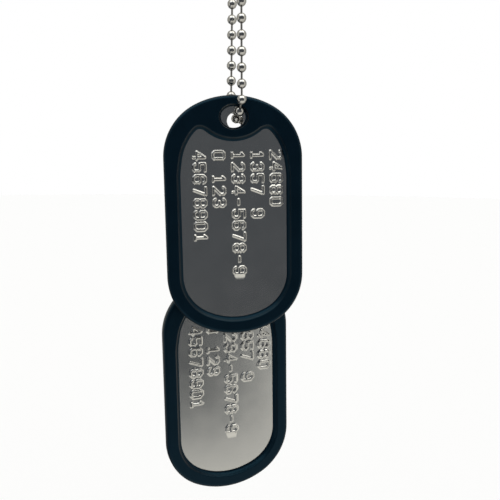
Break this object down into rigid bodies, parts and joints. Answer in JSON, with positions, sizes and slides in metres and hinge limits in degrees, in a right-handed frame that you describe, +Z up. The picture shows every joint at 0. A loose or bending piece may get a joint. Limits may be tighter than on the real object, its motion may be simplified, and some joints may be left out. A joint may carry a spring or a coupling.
{
  "type": "identification dog tags on a ball chain",
  "caption": "Embossed steel identification plates in black rubber edge silencers, hanging on a neck ball chain and a short ball chain.",
  "frame": {"origin": "where the top of the neck chain rests on the hook or peg that the loop hangs on", "axes": "+Z up, the front tag's face looks along -Y, +X to the right as the front tag is read upright"},
  "size_m": [0.0339, 0.0266, 0.3891],
  "materials": {
    "plate_steel": "satin",
    "silencer_rubber": "satin",
    "chain_steel": "polished",
    "coupling_steel": "polished"
  },
  "bodies": {
    "chain": {"neck_chain_beads": "chain_steel", "neck_chain_thread": "chain_steel", "neck_coupling": "coupling_steel", "short_chain_beads": "chain_steel", "short_chain_thread": "chain_steel", "short_coupling": "coupling_steel"},
    "front_tag": {"front_plate": "plate_steel", "front_silencer": "silencer_rubber"},
    "rear_tag": {"rear_plate": "plate_steel", "rear_silencer": "silencer_rubber"}
  },
  "joints": [
    {"name": "front_swing", "type": "hinge", "parent": "chain", "child": "front_tag", "pos_m": [0, 0, -0.29404], "axis": [0, 1, 0], "range_deg": [-30, 30]},
    {"name": "rear_swing", "type": "hinge", "parent": "chain", "child": "rear_tag", "pos_m": [-0.0009, 0.0063, -0.33685], "axis": [-0.1822, 0.9833, 0], "range_deg": [-30, 30]}
  ]
}
